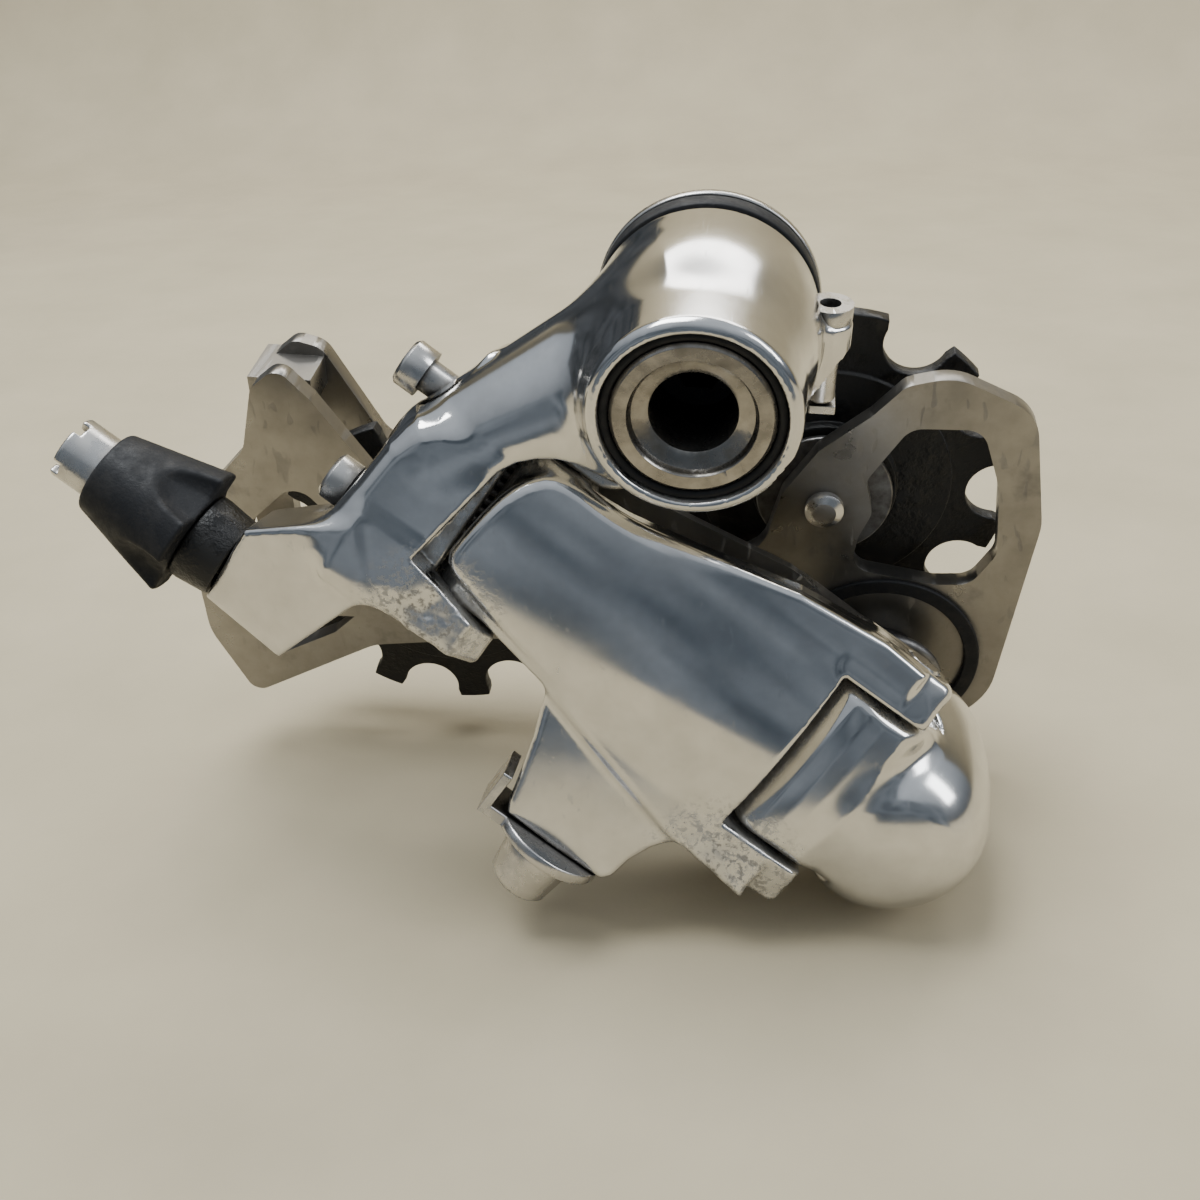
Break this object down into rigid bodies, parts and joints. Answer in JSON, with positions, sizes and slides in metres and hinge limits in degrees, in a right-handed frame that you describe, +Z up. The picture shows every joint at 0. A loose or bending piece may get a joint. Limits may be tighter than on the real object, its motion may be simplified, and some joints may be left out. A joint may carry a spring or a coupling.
{
  "type": "rear bicycle derailleur",
  "caption": "Short-cage rear derailleur: slant parallelogram on a sprung bracket knuckle, sprung pulley cage, cable barrel and anchor bolt.",
  "frame": {"origin": "where the hanger bolt's axis meets the hanger face", "axes": "+Z up as the part lies on a bench, +X towards the bicycle's front within 4 degrees, -Y outboard along the hanger bolt within 10 degrees"},
  "size_m": [0.1174, 0.0592, 0.0852],
  "materials": {
    "polished_alloy": "polished, worn",
    "satin_alloy": "satin anodised",
    "bright_steel": "plated, lightly worn",
    "dark_steel": "dark, oily",
    "bearing_bronze": "sintered",
    "black_rubber": "matte",
    "black_plastic": "greasy matte"
  },
  "bodies": {
    "hanger_bolt": {"mounting_bolt": "bright_steel"},
    "stop_plate": {"stop_plate": "bright_steel"},
    "b_knuckle": {"b_knuckle": "polished_alloy", "b_front_bush": "bearing_bronze", "b_rear_bush": "bearing_bronze", "b_rear_seal": "black_rubber", "b_front_seal": "black_rubber", "b_spring": "dark_steel", "link_pin_outer_b": "bright_steel", "link_pin_inner_b": "bright_steel"},
    "b_tension_screw": {"b_tension_screw": "bright_steel"},
    "high_limit_screw": {"high_limit_screw": "bright_steel"},
    "low_limit_screw": {"low_limit_screw": "bright_steel"},
    "barrel_slide": {"barrel_collar": "black_plastic", "barrel_spring_ring": "dark_steel"},
    "cable_barrel": {"cable_barrel": "bright_steel", "barrel_cover": "black_rubber"},
    "outer_link": {"outer_link": "polished_alloy", "link_pin_outer_p": "bright_steel"},
    "anchor_plate": {"cable_anchor_plate": "bright_steel"},
    "anchor_bolt": {"cable_anchor_bolt": "bright_steel"},
    "inner_link": {"inner_link": "satin_alloy", "link_pin_inner_p": "bright_steel", "return_spring": "dark_steel"},
    "p_knuckle": {"p_knuckle": "polished_alloy", "p_bush": "bearing_bronze", "p_seal": "black_rubber", "p_spring": "dark_steel", "axle_lock_screw": "dark_steel"},
    "cage": {"cage_outer_plate": "satin_alloy", "cage_inner_plate": "satin_alloy", "p_axle": "bright_steel", "cage_stop_pin": "bright_steel", "guide_bolt": "bright_steel", "guide_outer_cap": "dark_steel", "guide_inner_cap": "dark_steel", "guide_bush": "bearing_bronze", "tension_bolt": "bright_steel", "tension_outer_cap": "dark_steel", "tension_inner_cap": "dark_steel", "tension_bush": "bearing_bronze"},
    "guide_sleeve": {"guide_sleeve": "bearing_bronze"},
    "guide_pulley": {"guide_pulley": "black_plastic"},
    "tension_pulley": {"tension_pulley": "black_plastic"}
  },
  "joints": [
    {"name": "stop_plate_turn", "type": "hinge", "parent": "hanger_bolt", "child": "stop_plate", "pos_m": [-0.00001, -0.00059, -0.00009], "axis": [-0.0097, -0.9874, -0.1579], "range_deg": [-20, 0]},
    {"name": "knuckle_turn", "type": "hinge", "parent": "hanger_bolt", "child": "b_knuckle", "pos_m": [-0.00014, -0.01382, -0.00221], "axis": [-0.0097, -0.9874, -0.1579], "range_deg": [0, 35], "stiffness_Nm_per_rad": 0.5, "springref_deg": -45.84},
    {"name": "tension_screw_travel", "type": "slide", "parent": "b_knuckle", "child": "b_tension_screw", "axis": [0.0603, -0.1582, 0.9856], "range_m": [0, 0.003]},
    {"name": "high_limit_travel", "type": "slide", "parent": "b_knuckle", "child": "high_limit_screw", "axis": [-0.8052, 0.1043, 0.5838], "range_m": [0, 0.004]},
    {"name": "low_limit_travel", "type": "slide", "parent": "b_knuckle", "child": "low_limit_screw", "axis": [-0.8052, 0.1043, 0.5838], "range_m": [0, 0.004]},
    {"name": "barrel_travel", "type": "slide", "parent": "b_knuckle", "child": "barrel_slide", "axis": [-0.8052, 0.1043, 0.5838], "range_m": [0, 0.004]},
    {"name": "barrel_turn", "type": "hinge", "parent": "barrel_slide", "child": "cable_barrel", "pos_m": [-0.05905, -0.0177, -0.02317], "axis": [-0.8052, 0.1043, 0.5838], "range_deg": [0, 1800]},
    {"name": "swing", "type": "hinge", "parent": "b_knuckle", "child": "outer_link", "pos_m": [-0.02274, -0.01711, -0.02459], "axis": [0.5925, 0.1811, 0.7849], "range_deg": [0, 50], "stiffness_Nm_per_rad": 0.5, "springref_deg": -34.38},
    {"name": "inner_swing", "type": "hinge", "parent": "b_knuckle", "child": "inner_link", "pos_m": [-0.02709, -0.00595, -0.02389], "axis": [0.5925, 0.1811, 0.7849], "range_deg": [0, 50]},
    {"name": "knuckle_level", "type": "hinge", "parent": "outer_link", "child": "p_knuckle", "pos_m": [0.01462, -0.02195, -0.05168], "axis": [0.5925, 0.1811, 0.7849], "range_deg": [-50, 0]},
    {"name": "cage_turn", "type": "hinge", "parent": "p_knuckle", "child": "cage", "pos_m": [0.02255, -0.00146, -0.05559], "axis": [-0.0097, -0.9874, -0.1579], "range_deg": [0, 95], "stiffness_Nm_per_rad": 0.3, "springref_deg": -40.11},
    {"name": "guide_float", "type": "slide", "parent": "cage", "child": "guide_sleeve", "axis": [-0.0097, -0.9874, -0.1579], "range_m": [-0.0005, 0.0005]},
    {"name": "guide_spin", "type": "hinge", "parent": "guide_sleeve", "child": "guide_pulley", "pos_m": [0.01439, 0.01383, -0.02849], "axis": [-0.0097, -0.9874, -0.1579], "continuous": true},
    {"name": "tension_spin", "type": "hinge", "parent": "cage", "child": "tension_pulley", "pos_m": [-0.03929, 0.01686, -0.04415], "axis": [-0.0097, -0.9874, -0.1579], "continuous": true},
    {"name": "clamp_travel", "type": "slide", "parent": "outer_link", "child": "anchor_plate", "axis": [-0.5925, -0.1811, -0.7849], "range_m": [0, 0.0012]},
    {"name": "anchor_bolt_turn", "type": "hinge", "parent": "anchor_plate", "child": "anchor_bolt", "pos_m": [-0.01927, -0.02537, -0.06098], "axis": [-0.5925, -0.1811, -0.7849], "range_deg": [0, 540]}
  ],
  "couplings": [
    {"joint": "inner_swing", "follows": "swing", "ratio": 1},
    {"joint": "knuckle_level", "follows": "swing", "ratio": -1},
    {"joint": "barrel_turn", "follows": "barrel_travel", "rad_per_m": 7854},
    {"joint": "anchor_bolt_turn", "follows": "clamp_travel", "rad_per_m": 7854}
  ]
}
